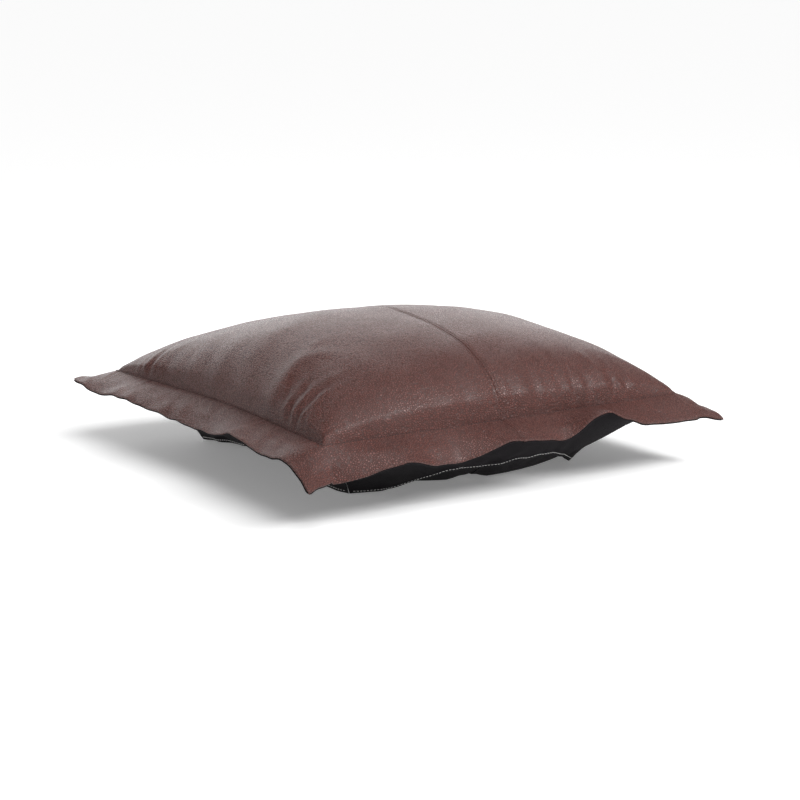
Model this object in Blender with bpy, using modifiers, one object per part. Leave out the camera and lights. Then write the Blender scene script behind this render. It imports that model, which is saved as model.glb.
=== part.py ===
"""Flanged ottoman cushion.

A square cushion with a flat flange all round, a leathercloth top in two panels,
a black cloth underside with a coil zip in its centre seam, a loose insert, and a
black under-skirt whose four mitred corners slip over the corners of an ottoman
frame. Metres, +Z up, the origin on the floor under the middle of the cushion.
"""
import math

import bmesh
import bpy
from mathutils import Matrix, Vector

# Cover
BODY_HALF = 0.28           # middle to the ditch seam
FLANGE = 0.052             # width of the flange cloth, about two inches
FLANGE_DROOP = math.radians(20)
SEAM_Z = 0.096             # height of the ditch seam above the floor
SEAM_X = -0.010            # the centre seam runs a little left of the middle
CROWN = 0.105              # rise of the top above the ditch seam
CROWN_POWER_X = 2.1
CROWN_POWER_Y = 1.22
CROWN_ROUND = 0.48
CROWN_LEAN = (-0.116, -0.213)
CROWN_FULL = (0.061, 0.211)
BELLY = 0.149              # depth the underside would reach if no floor stopped it
BELLY_POWER = 1.8
BELLY_ROUND = 0.52
BELLY_LEAN = (0.225, 0.195)   # the filling sags less towards the left
LEAN_EASE = 0.2
LEATHER = 0.0012
DUCK = 0.0008
GAP = 0.0003
LAYER_GAP = 0.0008         # between the two cloths of the flange

# Under-skirt
SKIRT_TOP_HALF = 0.2815
SKIRT_TOP_Z = 0.0915
SKIRT_CLEAR = 0.0045
SKIRT_ROWS = 1.5           # crowds the rows towards the top, where the belly turns
EAR_HALF = 0.186           # the pointed corners, where they touch the floor
EAR_Z = 0.0004
EAR_HOLLOW = 1.45
EAR_TUCK = 1.25            # the corner edge first drops, then turns inwards
HEM_MID_Z = {"front": 0.026, "right": 0.020, "back": 0.020, "left": 0.015}
HEM_BULGE = 2.2
HEM_MARGIN = 0.055         # stitch line, as a share of the skirt's drop
MITRE_GAP = 0.0016

# Sewing thread
THREAD = 0.0004            # radius
THREAD_LIFT = 0.0012
HEM_THREAD_LIFT = 0.0018
TOPSTITCH_OFFSET = 0.0045
DITCH_OFFSET = 0.0035
DITCH_LIFT = 0.0024

# Zip, in the centre seam of the underside
ZIP_HALF = 0.196
SEAM_CLOSES = 0.2035        # past the zip the two panels meet again
LIP_IN = 0.008             # cloth edges either side of the zip
LIP_OUT = 0.030
GROOVE = 0.0052            # the zip lies in a shallow furrow, clear of the floor
GROOVE_HALF = 0.022
COIL_RADIUS = 0.00075
COIL_Z = 0.00525
COIL_GAP = 0.0006
COIL_ENDS = (-0.184, 0.183)
TAPE_IN = 0.0018
TAPE_OUT = 0.013
TAPE_LOW = 0.0063
TAPE = 0.0005
SLIDER_HALF = (0.0045, 0.0055)
SLIDER_PLATE = 0.001
SLIDER_LOW = 0.0032
SLIDER_HIGH = 0.0071
SLIDER_CLOSED_Y = 0.176
BRIDGE_LOW = 0.0005
BRIDGE_THICK = 0.0008
BRIDGE_HALF = 0.0034
PULL_AXIS_Z = 0.0022
PULL_THICK = 0.0011
PULL_LENGTH = 0.022
PULL_HALF = 0.0035
PULL_WINDOW = (0.0015, 0.0006, 0.0042)

# Insert
INSERT_HALF = 0.272
TICKING = 0.0005
INSERT_SHRINK = 0.91
INSERT_FLOOR = 0.0045
INSERT_LIFT = 0.0065
LIFT_HALF = 0.030
FILL_HALF = 0.266
FILL_SHRINK = 0.96

# Mesh density, in cells
BODY_CELLS = 8
FLANGE_CELLS = 2
LIP_CELLS = 3
SKIRT_CELLS = (12, 6)

FLANGE_PLAN = FLANGE * math.cos(FLANGE_DROOP)
OUTER_HALF = BODY_HALF + FLANGE_PLAN

for old in list(bpy.data.objects):
    bpy.data.objects.remove(old, do_unlink=True)
cushion = bpy.data.collections.new("flanged_ottoman_cushion")
cutters = bpy.data.collections.new("cutters")
bpy.context.scene.collection.children.link(cushion)
bpy.context.scene.collection.children.link(cutters)


def finish(name, colour, roughness, metallic=0.0):
    material = bpy.data.materials.new(name)
    material.use_nodes = True
    shader = material.node_tree.nodes["Principled BSDF"]
    shader.inputs["Base Color"].default_value = (*colour, 1)
    shader.inputs["Roughness"].default_value = roughness
    shader.inputs["Metallic"].default_value = metallic
    return material


leathercloth = finish("brown_leathercloth", (0.115, 0.060, 0.054), 0.42)
black_duck = finish("black_duck", (0.009, 0.008, 0.009), 0.9)
tonal_thread = finish("brown_thread", (0.09, 0.05, 0.045), 0.6)
white_thread = finish("white_thread", (0.75, 0.74, 0.72), 0.6)
zip_tape_cloth = finish("zip_tape_cloth", (0.012, 0.012, 0.013), 0.85)
zip_nylon = finish("zip_nylon", (0.015, 0.015, 0.016), 0.45)
zip_metal = finish("zip_metal", (0.35, 0.34, 0.33), 0.3, 1.0)
ticking = finish("cotton_ticking", (0.70, 0.68, 0.62), 0.9)
fibre = finish("polyester_fibre", (0.86, 0.86, 0.84), 0.95)


def place(name, mesh, material, location=(0, 0, 0)):
    """Link a mesh as one sub-part, with its origin at the given point."""
    piece = bpy.data.objects.new(name, mesh)
    piece.location = location
    mesh.materials.append(material)
    cushion.objects.link(piece)
    return piece


def to_mesh(bm, name, smooth=True):
    mesh = bpy.data.meshes.new(name)
    bm.to_mesh(mesh)
    bm.free()
    if smooth:
        mesh.shade_smooth()
        mesh.set_sharp_from_angle(angle=math.radians(40))
    return mesh


def face_away(bm, inside):
    """Turn an open surface so that its faces look away from the point inside."""
    centre = Vector(inside)
    bm.normal_update()
    outward = sum(
        f.calc_area() * f.normal.dot(f.calc_center_median() - centre) for f in bm.faces
    )
    if outward < 0:
        bmesh.ops.reverse_faces(bm, faces=bm.faces)


def shell(name, cells, shape, inside, thickness, material):
    """A cloth panel: a grid shaped by a formula, then Solidify to the cloth's thickness."""
    bm = bmesh.new()
    bmesh.ops.create_grid(bm, x_segments=cells[0], y_segments=cells[1], size=1)
    for vertex in bm.verts:
        vertex.co = shape(vertex.co.x, vertex.co.y)
    face_away(bm, inside)
    piece = place(name, to_mesh(bm, name), material)
    cloth = piece.modifiers.new("cloth", "SOLIDIFY")
    cloth.thickness = thickness
    cloth.offset = -1
    return piece


def thread(name, points, material, radius=THREAD, closed=False, sides=0):
    """A line of sewing thread through the given points."""
    curve = bpy.data.curves.new(name, "CURVE")
    curve.dimensions = "3D"
    curve.bevel_depth = radius
    curve.bevel_resolution = sides
    curve.use_fill_caps = not closed
    curve.render_resolution_u = 0
    line = curve.splines.new("POLY")
    line.points.add(len(points) - 1)
    for slot, point in zip(line.points, points):
        slot.co = (*point, 1)
    line.use_cyclic_u = closed
    curve.materials.append(material)
    piece = bpy.data.objects.new(name, curve)
    cushion.objects.link(piece)
    return piece


def box_bm(low, high):
    bm = bmesh.new()
    bmesh.ops.create_cube(bm, size=1)
    low = Vector(low)
    high = Vector(high)
    for vertex in bm.verts:
        share = vertex.co + Vector((0.5, 0.5, 0.5))
        vertex.co = Vector(low[k] + share[k] * (high[k] - low[k]) for k in range(3))
    return bm


def combine(piece, name, bm, operation, location):
    """Join a further solid to a piece, or cut it away, with an exact Boolean."""
    tool = bpy.data.objects.new(name, to_mesh(bm, name, smooth=False))
    tool.location = location
    tool.hide_render = True
    tool.display_type = "WIRE"
    cutters.objects.link(tool)
    step = piece.modifiers.new(name, "BOOLEAN")
    step.operation = operation
    step.object = tool


# Shape of the cover, as heights over the plan

SIDES = ("front", "right", "back", "left")


def turned(point, quarter):
    return Matrix.Rotation(quarter * math.pi / 2, 3, "Z") @ point


def dome(x, y, power_x, power_y, roundness):
    """1 over the middle of the square body, 0 at its edge."""
    across = 1 - min(1, abs(x) / BODY_HALF) ** power_x
    along = 1 - min(1, abs(y) / BODY_HALF) ** power_y
    return (across * along) ** roundness


def flange_fall(x, y):
    beyond = max(abs(x), abs(y)) - BODY_HALF
    return max(0, beyond) * math.tan(FLANGE_DROOP)


def crown(x, y):
    u = x / BODY_HALF
    v = y / BODY_HALF
    lean = CROWN_LEAN[0] * u + CROWN_LEAN[1] * v
    full = CROWN_FULL[0] * u * u + CROWN_FULL[1] * v * v
    rise = dome(x, y, CROWN_POWER_X, CROWN_POWER_Y, CROWN_ROUND)
    return CROWN * rise * (1 + lean + full)


def top_z(x, y):
    """Outside of the leathercloth."""
    return SEAM_Z + LAYER_GAP / 2 + LEATHER + crown(x, y) - flange_fall(x, y)


def belly_drop(x, y):
    """How far the underside would hang below the ditch seam."""
    u = x / BODY_HALF
    eased = (math.hypot(u, LEAN_EASE) - LEAN_EASE) / (math.hypot(1, LEAN_EASE) - LEAN_EASE)
    lean = 1 + BELLY_LEAN[0] * u - BELLY_LEAN[1] * eased
    return BELLY * dome(x, y, BELLY_POWER, BELLY_POWER, BELLY_ROUND) * lean


def furrow(x):
    return GROOVE * math.exp(-(abs(x - SEAM_X) / GROOVE_HALF) ** 4)


def belly_z(x, y):
    """Outside of the black underside: flat where the floor holds it up."""
    drop = belly_drop(x, y)
    free = SEAM_Z - LAYER_GAP / 2 - DUCK - drop
    room = max(0, min(1, drop / SEAM_Z))
    return max(0, free) + furrow(x) * room - flange_fall(x, y)


def belly_reach(z, quarter):
    """How far from the middle the underside is at a height, half way along a side."""
    near = 0
    far = BODY_HALF
    for _ in range(30):
        middle = (near + far) / 2
        spot = turned(Vector((0, -middle, 0)), quarter)
        if SEAM_Z - belly_drop(spot.x, spot.y) < z:
            near = middle
        else:
            far = middle
    return far


def station(cell):
    """Distance from the middle of a grid line: close together near the seam."""
    if cell <= BODY_CELLS:
        return BODY_HALF * math.sin(cell / BODY_CELLS * math.pi / 2)
    return BODY_HALF + FLANGE_PLAN * (cell - BODY_CELLS) / FLANGE_CELLS


def zip_station(cell):
    """The same for the underside, with extra lines for the lips of the zip."""
    if cell <= 1:
        return LIP_IN * cell
    if cell <= 1 + LIP_CELLS:
        return LIP_IN + (LIP_OUT - LIP_IN) * (cell - 1) / LIP_CELLS
    body = cell - 1 - LIP_CELLS
    if body <= BODY_CELLS:
        return LIP_OUT + (BODY_HALF - LIP_OUT) * math.sin(body / BODY_CELLS * math.pi / 2)
    return BODY_HALF + FLANGE_PLAN * (body - BODY_CELLS) / FLANGE_CELLS


def from_seam(distance, side):
    """x of a line that is some distance from the centre seam, squared up at the edge."""
    return side * distance + SEAM_X * max(0, 1 - distance / BODY_HALF)


ALL_CELLS = BODY_CELLS + FLANGE_CELLS


def lengthways(v):
    return math.copysign(station(round(abs(v) * ALL_CELLS, 6)), v)


def lengthways_with_zip(v):
    """The same rows, and one more each side where the seam closes past the zip."""
    row = round(abs(v) * (ALL_CELLS + 1))
    open_rows = BODY_CELLS // 2
    if row == open_rows + 1:
        distance = SEAM_CLOSES
    else:
        distance = station(row if row <= open_rows else row - 1)
    return math.copysign(distance, v)


# Leathercloth top: two panels, edge to edge at the centre seam


def top_panel(name, side):
    def shape(u, v):
        distance = GAP + station((u + 1) / 2 * ALL_CELLS)
        distance = min(distance, OUTER_HALF)
        x = from_seam(distance, side)
        y = lengthways(v)
        return Vector((x, y, top_z(x, y)))

    below = (0, 0, SEAM_Z - BODY_HALF)
    return shell(name, (ALL_CELLS, 2 * ALL_CELLS), shape, below, LEATHER, leathercloth)


top_panel("top_panel_left", -1)
top_panel("top_panel_right", 1)

# Black underside: two panels, parted at the centre seam where the zip is


def bottom_panel(name, side):
    cells = LIP_CELLS + ALL_CELLS

    def shape(u, v):
        y = lengthways_with_zip(v)
        cell = 1 + (u + 1) / 2 * cells
        distance = zip_station(cell)
        at_seam = cell < 1.5
        if at_seam and abs(y) >= SEAM_CLOSES:
            distance = GAP
        x = from_seam(distance, side)
        return Vector((x, y, belly_z(x, y)))

    above = (0, 0, SEAM_Z + BODY_HALF)
    rows = 2 * (ALL_CELLS + 1)
    return shell(name, (cells, rows), shape, above, DUCK, black_duck)


bottom_panel("bottom_panel_left", -1)
bottom_panel("bottom_panel_right", 1)

# Under-skirt: four trapezoid panels, mitred at the corners


def skirt_point(t, s, quarter):
    """t runs along a side from -1 to 1, s down it from 0 to 1."""
    corner = SKIRT_TOP_HALF + (EAR_HALF - SKIRT_TOP_HALF) * s**EAR_TUCK
    corner_z = EAR_Z + (SKIRT_TOP_Z - EAR_Z) * (1 - s) ** EAR_HOLLOW
    middle_z = SKIRT_TOP_Z + (HEM_MID_Z[SIDES[quarter]] - SKIRT_TOP_Z) * s
    middle = max(belly_reach(middle_z, quarter) + SKIRT_CLEAR, corner)
    share = 1 - abs(t) ** HEM_BULGE
    spot = Vector((t * (corner - MITRE_GAP), -(corner + (middle - corner) * share), 0))
    spot = turned(spot, quarter)
    z = corner_z + (middle_z - corner_z) * share
    below_belly = belly_z(spot.x, spot.y) - SKIRT_CLEAR
    spot.z = max(EAR_Z, min(z, below_belly))
    return spot


def hem_stitch_point(t, quarter):
    s = 1 - HEM_MARGIN
    step = 0.01
    spot = skirt_point(t, s, quarter)
    along = skirt_point(t + step, s, quarter) - skirt_point(t - step, s, quarter)
    down = skirt_point(t, s + step, quarter) - skirt_point(t, s - step, quarter)
    outward = along.cross(down).normalized()
    if outward.dot(Vector((spot.x, spot.y, 0))) < 0:
        outward.negate()
    return spot + outward * HEM_THREAD_LIFT


INSIDE_SKIRT = (0, 0, 0.15)
HEM_POINTS = 32
HEM_STITCH_END = 0.97

for quarter, side_name in enumerate(SIDES):
    shell(
        "skirt_" + side_name,
        SKIRT_CELLS,
        lambda u, v, q=quarter: skirt_point(u, ((1 - v) / 2) ** SKIRT_ROWS, q),
        INSIDE_SKIRT,
        DUCK,
        black_duck,
    )
    spots = [
        HEM_STITCH_END * (2 * k / (HEM_POINTS - 1) - 1) for k in range(HEM_POINTS)
    ]
    hem = [hem_stitch_point(t, quarter) for t in spots]
    thread("hem_stitch_" + side_name, hem, white_thread)

# Topstitching beside the centre seam, and the quilting that sets off the flange


def above_top(x, y, lift):
    """A point over the leathercloth, lifted square to it."""
    step = 0.001
    slope_x = (top_z(x + step, y) - top_z(x - step, y)) / (2 * step)
    slope_y = (top_z(x, y + step) - top_z(x, y - step)) / (2 * step)
    outward = Vector((-slope_x, -slope_y, 1)).normalized()
    return Vector((x, y, top_z(x, y))) + outward * lift


STITCH_END = 0.004
rows = [k / 2 for k in range(-2 * ALL_CELLS, 2 * ALL_CELLS + 1)]
for side_name, side in (("left", -1), ("right", 1)):
    line = []
    for row in rows:
        y = math.copysign(min(station(abs(row)), OUTER_HALF - STITCH_END), row)
        line.append(above_top(from_seam(TOPSTITCH_OFFSET, side), y, THREAD_LIFT))
    thread("centre_topstitch_" + side_name, line, tonal_thread)

ditch_half = BODY_HALF + DITCH_OFFSET
DITCH_STEPS = 12
ditch = []
for quarter in range(4):
    for k in range(DITCH_STEPS):
        spot = Vector((ditch_half * (2 * k / DITCH_STEPS - 1), -ditch_half, 0))
        spot = turned(spot, quarter)
        ditch.append(Vector((spot.x, spot.y, top_z(spot.x, spot.y) + DITCH_LIFT)))
thread("flange_ditch_stitch", ditch, tonal_thread, closed=True)

# Coil zip: tapes sewn inside the lips, coils on their inner edges


def bevelled_box(low, high, radius):
    """A box with its upright edges rounded."""
    bm = box_bm(low, high)
    upright = [
        e for e in bm.edges if abs(e.verts[0].co.z - e.verts[1].co.z) > 0.5 * (high[2] - low[2])
    ]
    bmesh.ops.bevel(
        bm, geom=upright, offset=radius, segments=3, profile=0.5, affect="EDGES"
    )
    return bm


STOP_WIDTH = 0.0026
STOP_LENGTH = 0.0032
STOP_LOW = COIL_Z - COIL_RADIUS
STOP_HIGH = COIL_Z + COIL_RADIUS
STOP_EDGE = 0.0003

for side_name, side in (("left", -1), ("right", 1)):
    edges = sorted((side * TAPE_IN, side * TAPE_OUT))
    tape = box_bm(
        (edges[0], -ZIP_HALF, TAPE_LOW), (edges[1], ZIP_HALF, TAPE_LOW + TAPE)
    )
    place(
        "zip_tape_" + side_name,
        to_mesh(tape, "zip_tape_" + side_name, smooth=False),
        zip_tape_cloth,
        (SEAM_X, 0, 0),
    )
    coil_x = SEAM_X + side * (COIL_GAP + COIL_RADIUS)
    ends = [Vector((coil_x, end, COIL_Z)) for end in COIL_ENDS]
    thread("zip_coil_" + side_name, ends, zip_nylon, COIL_RADIUS, sides=2)
    edges = sorted((side * COIL_GAP, side * STOP_WIDTH))
    stop = bevelled_box((edges[0], 0, STOP_LOW), (edges[1], STOP_LENGTH, STOP_HIGH), STOP_EDGE)
    place(
        "zip_top_stop_" + side_name,
        to_mesh(stop, "zip_top_stop_" + side_name),
        zip_metal,
        (SEAM_X, COIL_ENDS[1] + GAP, 0),
    )

stop = bevelled_box((-STOP_WIDTH, -STOP_LENGTH, STOP_LOW), (STOP_WIDTH, 0, STOP_HIGH), STOP_EDGE)
place(
    "zip_bottom_stop",
    to_mesh(stop, "zip_bottom_stop"),
    zip_metal,
    (SEAM_X, COIL_ENDS[0] - GAP, 0),
)

# Slider: two plates joined by a post, with a bridge below that holds the pull

SLIDER_CORNER = 0.0012
SLIDER_TAPER = 0.74
POST = ((-0.0003, 0.001), (0.0003, 0.004))
BRIDGE_WIDTH = 0.0005
OVERLAP = 0.0002
slider_place = Vector((SEAM_X, SLIDER_CLOSED_Y, 0))
half_x, half_y = SLIDER_HALF


def slider_plate(low):
    bm = bevelled_box(
        (-half_x, -half_y, low), (half_x, half_y, low + SLIDER_PLATE), SLIDER_CORNER
    )
    for vertex in bm.verts:
        if vertex.co.y < 0:
            vertex.co.x *= SLIDER_TAPER
    return bm


slider = place(
    "zip_slider", to_mesh(slider_plate(SLIDER_LOW), "zip_slider"), zip_metal, slider_place
)
combine(slider, "slider_inner_plate", slider_plate(SLIDER_HIGH), "UNION", slider_place)
post_low = SLIDER_LOW + SLIDER_PLATE - OVERLAP
post = box_bm((*POST[0], post_low), (*POST[1], SLIDER_HIGH + OVERLAP))
combine(slider, "slider_post", post, "UNION", slider_place)
bridge = box_bm(
    (-BRIDGE_WIDTH, -BRIDGE_HALF, BRIDGE_LOW),
    (BRIDGE_WIDTH, BRIDGE_HALF, SLIDER_LOW + OVERLAP),
)
combine(slider, "slider_bridge", bridge, "UNION", slider_place)
eye = box_bm(
    (-2 * BRIDGE_WIDTH, BRIDGE_THICK - BRIDGE_HALF, BRIDGE_LOW + BRIDGE_THICK),
    (2 * BRIDGE_WIDTH, BRIDGE_HALF - BRIDGE_THICK, SLIDER_LOW),
)
combine(slider, "slider_bridge_eye", eye, "DIFFERENCE", slider_place)

# Pull: a flat tab whose crossbar turns in the slider's bridge; its origin is on that axis

PULL_CORNER = 0.0022
window_half, window_near, window_far = PULL_WINDOW
pull_place = slider_place + Vector((0, 0, PULL_AXIS_Z))
tab = box_bm(
    (-PULL_HALF, -PULL_LENGTH, -PULL_THICK / 2), (PULL_HALF, window_near, PULL_THICK / 2)
)
far_end = [
    e
    for e in tab.edges
    if all(v.co.y < -PULL_LENGTH / 2 for v in e.verts)
    and abs(e.verts[0].co.z - e.verts[1].co.z) > PULL_THICK / 2
]
bmesh.ops.bevel(
    tab, geom=far_end, offset=PULL_CORNER, segments=4, profile=0.5, affect="EDGES"
)
pull = place("zip_pull", to_mesh(tab, "zip_pull"), zip_metal, pull_place)
window = box_bm(
    (-window_half, -window_far, -PULL_THICK), (window_half, -window_near, PULL_THICK)
)
combine(pull, "pull_window", window, "DIFFERENCE", pull_place)

# Insert: a ticking casing in two halves round the fibre filling

SHRINK = BODY_HALF / INSERT_HALF
CASING_CELLS = 16


def insert_top(x, y):
    return SEAM_Z + TICKING + INSERT_SHRINK * crown(x * SHRINK, y * SHRINK)


def insert_bottom(x, y):
    drop = belly_drop(x * SHRINK, y * SHRINK)
    lift = INSERT_LIFT * math.exp(-(abs(x - SEAM_X) / LIFT_HALF) ** 4)
    floor = INSERT_FLOOR + lift
    return max(floor, SEAM_Z - TICKING - INSERT_SHRINK * drop)


def eased(share):
    """Grid lines closer together towards the edge of the insert."""
    return INSERT_HALF * math.sin(share * math.pi / 2)


def zip_wise(u):
    """Grid lines of the insert's underside, set out from the zip."""
    cells = 1 + LIP_CELLS + BODY_CELLS
    distance = zip_station(round(abs(u) * cells, 6)) / SHRINK
    return from_seam(distance, math.copysign(1, u))


def casing_top(u, v):
    x = eased(u)
    y = eased(v)
    return Vector((x, y, insert_top(x, y)))


def casing_bottom(u, v):
    x = zip_wise(u)
    y = eased(v)
    return Vector((x, y, insert_bottom(x, y)))


LENGTH_CELLS = 2 * (1 + LIP_CELLS + BODY_CELLS)
shell(
    "insert_casing_top",
    (CASING_CELLS, CASING_CELLS),
    casing_top,
    (0, 0, SEAM_Z - BODY_HALF),
    TICKING,
    ticking,
)
shell(
    "insert_casing_bottom",
    (LENGTH_CELLS, CASING_CELLS),
    casing_bottom,
    (0, 0, SEAM_Z + BODY_HALF),
    TICKING,
    ticking,
)


def filling(name):
    """The fibre: a grid drawn out into a closed pillow between the two casings."""
    bm = bmesh.new()
    bmesh.ops.create_grid(bm, x_segments=LENGTH_CELLS, y_segments=CASING_CELLS, size=1)
    lower = list(bm.verts)
    drawn = bmesh.ops.extrude_face_region(bm, geom=list(bm.faces))
    upper = [part for part in drawn["geom"] if isinstance(part, bmesh.types.BMVert)]
    plan = FILL_HALF / INSERT_HALF
    for group, height in ((lower, insert_bottom), (upper, insert_top)):
        for vertex in group:
            x = zip_wise(vertex.co.x)
            y = eased(vertex.co.y)
            z = SEAM_Z + (height(x, y) - SEAM_Z) * FILL_SHRINK
            vertex.co = Vector((x * plan, y * plan, z))
    bmesh.ops.recalc_face_normals(bm, faces=bm.faces)
    return place(name, to_mesh(bm, name), fibre)


filling("insert_fill")
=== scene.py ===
import math

import bpy
import numpy as np
from mathutils import Matrix, Vector


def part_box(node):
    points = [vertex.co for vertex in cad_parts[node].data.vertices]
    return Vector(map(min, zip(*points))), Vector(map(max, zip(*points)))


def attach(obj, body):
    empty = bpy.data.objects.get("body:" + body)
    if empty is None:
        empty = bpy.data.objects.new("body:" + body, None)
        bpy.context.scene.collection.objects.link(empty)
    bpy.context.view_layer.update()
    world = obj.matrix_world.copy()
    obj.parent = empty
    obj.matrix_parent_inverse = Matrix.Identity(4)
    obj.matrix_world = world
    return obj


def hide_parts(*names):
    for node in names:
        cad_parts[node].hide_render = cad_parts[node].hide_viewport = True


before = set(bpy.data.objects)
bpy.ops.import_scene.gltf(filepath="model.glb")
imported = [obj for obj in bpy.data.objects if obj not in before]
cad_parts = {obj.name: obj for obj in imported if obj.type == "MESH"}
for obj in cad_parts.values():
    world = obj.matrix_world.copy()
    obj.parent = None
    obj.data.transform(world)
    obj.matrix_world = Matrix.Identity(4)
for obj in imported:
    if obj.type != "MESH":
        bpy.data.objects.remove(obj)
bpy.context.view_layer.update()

# Fibre filling
# Loose polyester fibre blown into the insert. It takes the shape of its casing: a full
# dome above the seam and a flattened belly below, with soft lumps where the fibre clumps.

body_half = 0.28
seam_height = 0.096
crown_rise = 0.105
belly_depth = 0.149


def bowl(u, v, power_x, power_y, roundness):
    """1 over the middle of a sewn square, 0 at its seams."""
    across = 1 - np.clip(np.abs(u), 0, 1) ** power_x
    along = 1 - np.clip(np.abs(v), 0, 1) ** power_y
    return np.clip(across * along, 0, 1) ** roundness


def softened(v, ease=0.07):
    """|v| with its crease at the middle rounded off."""
    return (np.sqrt(v * v + ease * ease) - ease) / (math.sqrt(1 + ease * ease) - ease)


def crown_height(u, v):
    lean = -0.116 * u - 0.213 * v
    full = 0.061 * u * u + 0.211 * v * v + 0.016 * u * v
    return crown_rise * bowl(u, softened(v), 2.1, 1.22, 0.479) * (1 + lean + full)


def belly_drop(u, v):
    """The filling sags less towards the left."""
    lean = 1 + 0.225 * u - 0.195 * softened(u, 0.2)
    return belly_depth * bowl(u, v, 1.8, 1.8, 0.52) * lean


def smooth_noise(u, v, seed, waves, low, high):
    """A few seeded sine waves added up: soft lumps that are the same each run."""
    draw = np.random.default_rng(seed)
    total = np.zeros(np.broadcast(u, v).shape)
    for _ in range(waves):
        angle = draw.uniform(0, math.tau)
        cycles = draw.uniform(low, high)
        phase = draw.uniform(0, math.tau)
        along = np.cos(angle) * u + np.sin(angle) * v
        total += np.sin(math.pi * cycles * along + phase)
    return total / math.sqrt(waves)


def sheet_mesh(name, points):
    """A mesh of quads through a grid of points, faces up when rows run +Y and columns +X."""
    rows, columns = points.shape[:2]
    index = np.arange(rows * columns).reshape(rows, columns)
    quads = np.stack(
        [index[:-1, :-1], index[:-1, 1:], index[1:, 1:], index[1:, :-1]], axis=-1
    ).reshape(-1, 4)
    mesh = bpy.data.meshes.new(name)
    mesh.from_pydata(points.reshape(-1, 3).tolist(), [], quads.tolist())
    mesh.shade_smooth()
    mesh.update()
    piece = bpy.data.objects.new(name, mesh)
    bpy.context.scene.collection.objects.link(piece)
    return piece


def thicken(piece, thickness):
    cloth = piece.modifiers.new("cloth", "SOLIDIFY")
    cloth.thickness = thickness
    cloth.offset = -1
    return piece


def pillow_mesh(name, top, bottom):
    """A closed pillow from two grids that share their outline."""
    rows, columns = top.shape[:2]
    upper = np.arange(rows * columns).reshape(rows, columns)
    lower = upper + rows * columns
    lower[0], lower[-1], lower[:, 0], lower[:, -1] = (
        upper[0], upper[-1], upper[:, 0], upper[:, -1]
    )
    faces = []
    for index, flip in ((upper, False), (lower, True)):
        quads = np.stack(
            [index[:-1, :-1], index[:-1, 1:], index[1:, 1:], index[1:, :-1]], axis=-1
        ).reshape(-1, 4)
        faces.append(quads[:, ::-1] if flip else quads)
    points = np.concatenate([top.reshape(-1, 3), bottom.reshape(-1, 3)])
    used, packed = np.unique(np.concatenate(faces), return_inverse=True)
    mesh = bpy.data.meshes.new(name)
    mesh.from_pydata(points[used].tolist(), [], packed.reshape(-1, 4).tolist())
    mesh.shade_smooth()
    mesh.update()
    piece = bpy.data.objects.new(name, mesh)
    bpy.context.scene.collection.objects.link(piece)
    return piece


def material(name, colour, roughness):
    """A Principled material and a small wiring helper for its node tree."""
    new = bpy.data.materials.new(name)
    new.use_nodes = True
    tree = new.node_tree
    shader = tree.nodes["Principled BSDF"]
    shader.inputs["Base Color"].default_value = (*colour, 1)
    shader.inputs["Roughness"].default_value = roughness

    def node(kind, settings=(), **inputs):
        made = tree.nodes.new(kind)
        for key, value in settings:
            setattr(made, key, value)
        for key, value in inputs.items():
            socket = made.inputs[int(key[1:])] if key[0] == "i" and key[1:].isdigit() else made.inputs[key]
            if isinstance(value, bpy.types.NodeSocket):
                tree.links.new(value, socket)
            else:
                socket.default_value = value
        return made

    return new, shader, node, tree.links.new


def two_tone(node, link, shader, share, dark, light):
    """Let a pattern mix two shades of the base colour."""
    tone = node(
        "ShaderNodeMix", [("data_type", "RGBA")], Factor=share, i6=(*dark, 1), i7=(*light, 1)
    )
    link(tone.outputs[2], shader.inputs["Base Color"])


def relief(node, link, shader, height, strength, distance):
    bump = node("ShaderNodeBump", Height=height, Strength=strength, Distance=distance)
    link(bump.outputs["Normal"], shader.inputs["Normal"])


def woven(node, place, first_scale, second_scale, joined="MULTIPLY", **waves):
    """Two sets of threads that cross."""
    sets = [
        node(
            "ShaderNodeTexWave", [("bands_direction", way)],
            Vector=place.outputs["Object"], Scale=scale, **waves,
        )
        for way, scale in (("X", first_scale), ("Y", second_scale))
    ]
    crossing = node(
        "ShaderNodeMath", [("operation", joined)], i0=sets[0].outputs["Fac"], i1=sets[1].outputs["Fac"]
    )
    return crossing.outputs["Value"]


insert_low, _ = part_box("insert_fill")
fill_half = 0.254
fill_grid = np.sin(np.linspace(-1, 1, 81) * math.pi / 2)
fu, fv = np.meshgrid(fill_grid, fill_grid)
lumps = 0.0015 * smooth_noise(fu, fv, 3, 14, 2, 9)
fill_keep = 0.85
fill_floor = insert_low[2] + 0.003
fill_top = seam_height + fill_keep * (crown_height(fu, fv) + lumps * (1 - fu**8) * (1 - fv**8))
fill_bottom = seam_height - fill_keep * belly_drop(fu, fv)
fill_plan = [fu * fill_half, fv * fill_half]
fibre_fill = pillow_mesh(
    "fibre_fill",
    np.stack([*fill_plan, fill_top], axis=-1),
    np.stack([*fill_plan, np.maximum(fill_bottom, fill_floor + 0.008)], axis=-1),
)
fibre, shader, node, link = material("polyester_fibre", (0.86, 0.86, 0.84), 0.95)
place = node("ShaderNodeTexCoord")
strands = node(
    "ShaderNodeTexNoise", Vector=place.outputs["Object"], Scale=260.0, Detail=8.0, Distortion=2.2
)
clumps = node("ShaderNodeTexNoise", Vector=place.outputs["Object"], Scale=22.0, Detail=3.0)
two_tone(node, link, shader, clumps.outputs["Fac"], (0.74, 0.74, 0.71), (0.92, 0.92, 0.91))
relief(node, link, shader, strands.outputs["Fac"], 0.6, 0.002)
shader.inputs["Sheen Weight"].default_value = 0.4
fibre_fill.data.materials.append(fibre)
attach(fibre_fill, "root")
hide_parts("insert_fill")

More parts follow.
